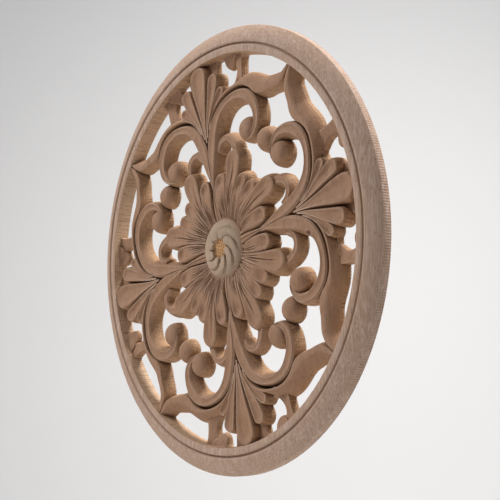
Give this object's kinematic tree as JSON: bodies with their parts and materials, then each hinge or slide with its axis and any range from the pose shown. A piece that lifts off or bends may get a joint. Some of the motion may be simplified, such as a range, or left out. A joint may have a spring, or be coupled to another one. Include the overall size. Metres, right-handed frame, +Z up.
{
  "type": "carved wooden applique",
  "caption": "Round pierced wooden applique with a moulded rim, palmettes, scrolls, berries and a central flower, flat at the back for fixing to a door, panel or ceiling.",
  "frame": {"origin": "centre of the flat back, on the wood behind the bud, where the disc lies against what it is fixed to", "axes": "+Y out of the flat back, into the wall, the carved face towards -Y; +Z up, along one pair of palmettes; +X to the right seen from the front, along the other pair"},
  "size_m": [0.3, 0.012, 0.3],
  "materials": {
    "carved_wood": "unpainted, unvarnished, cut and lightly sanded, with fine pores and dark creases"
  },
  "bodies": {
    "root": {"carved_applique": "carved_wood"}
  },
  "joints": []
}
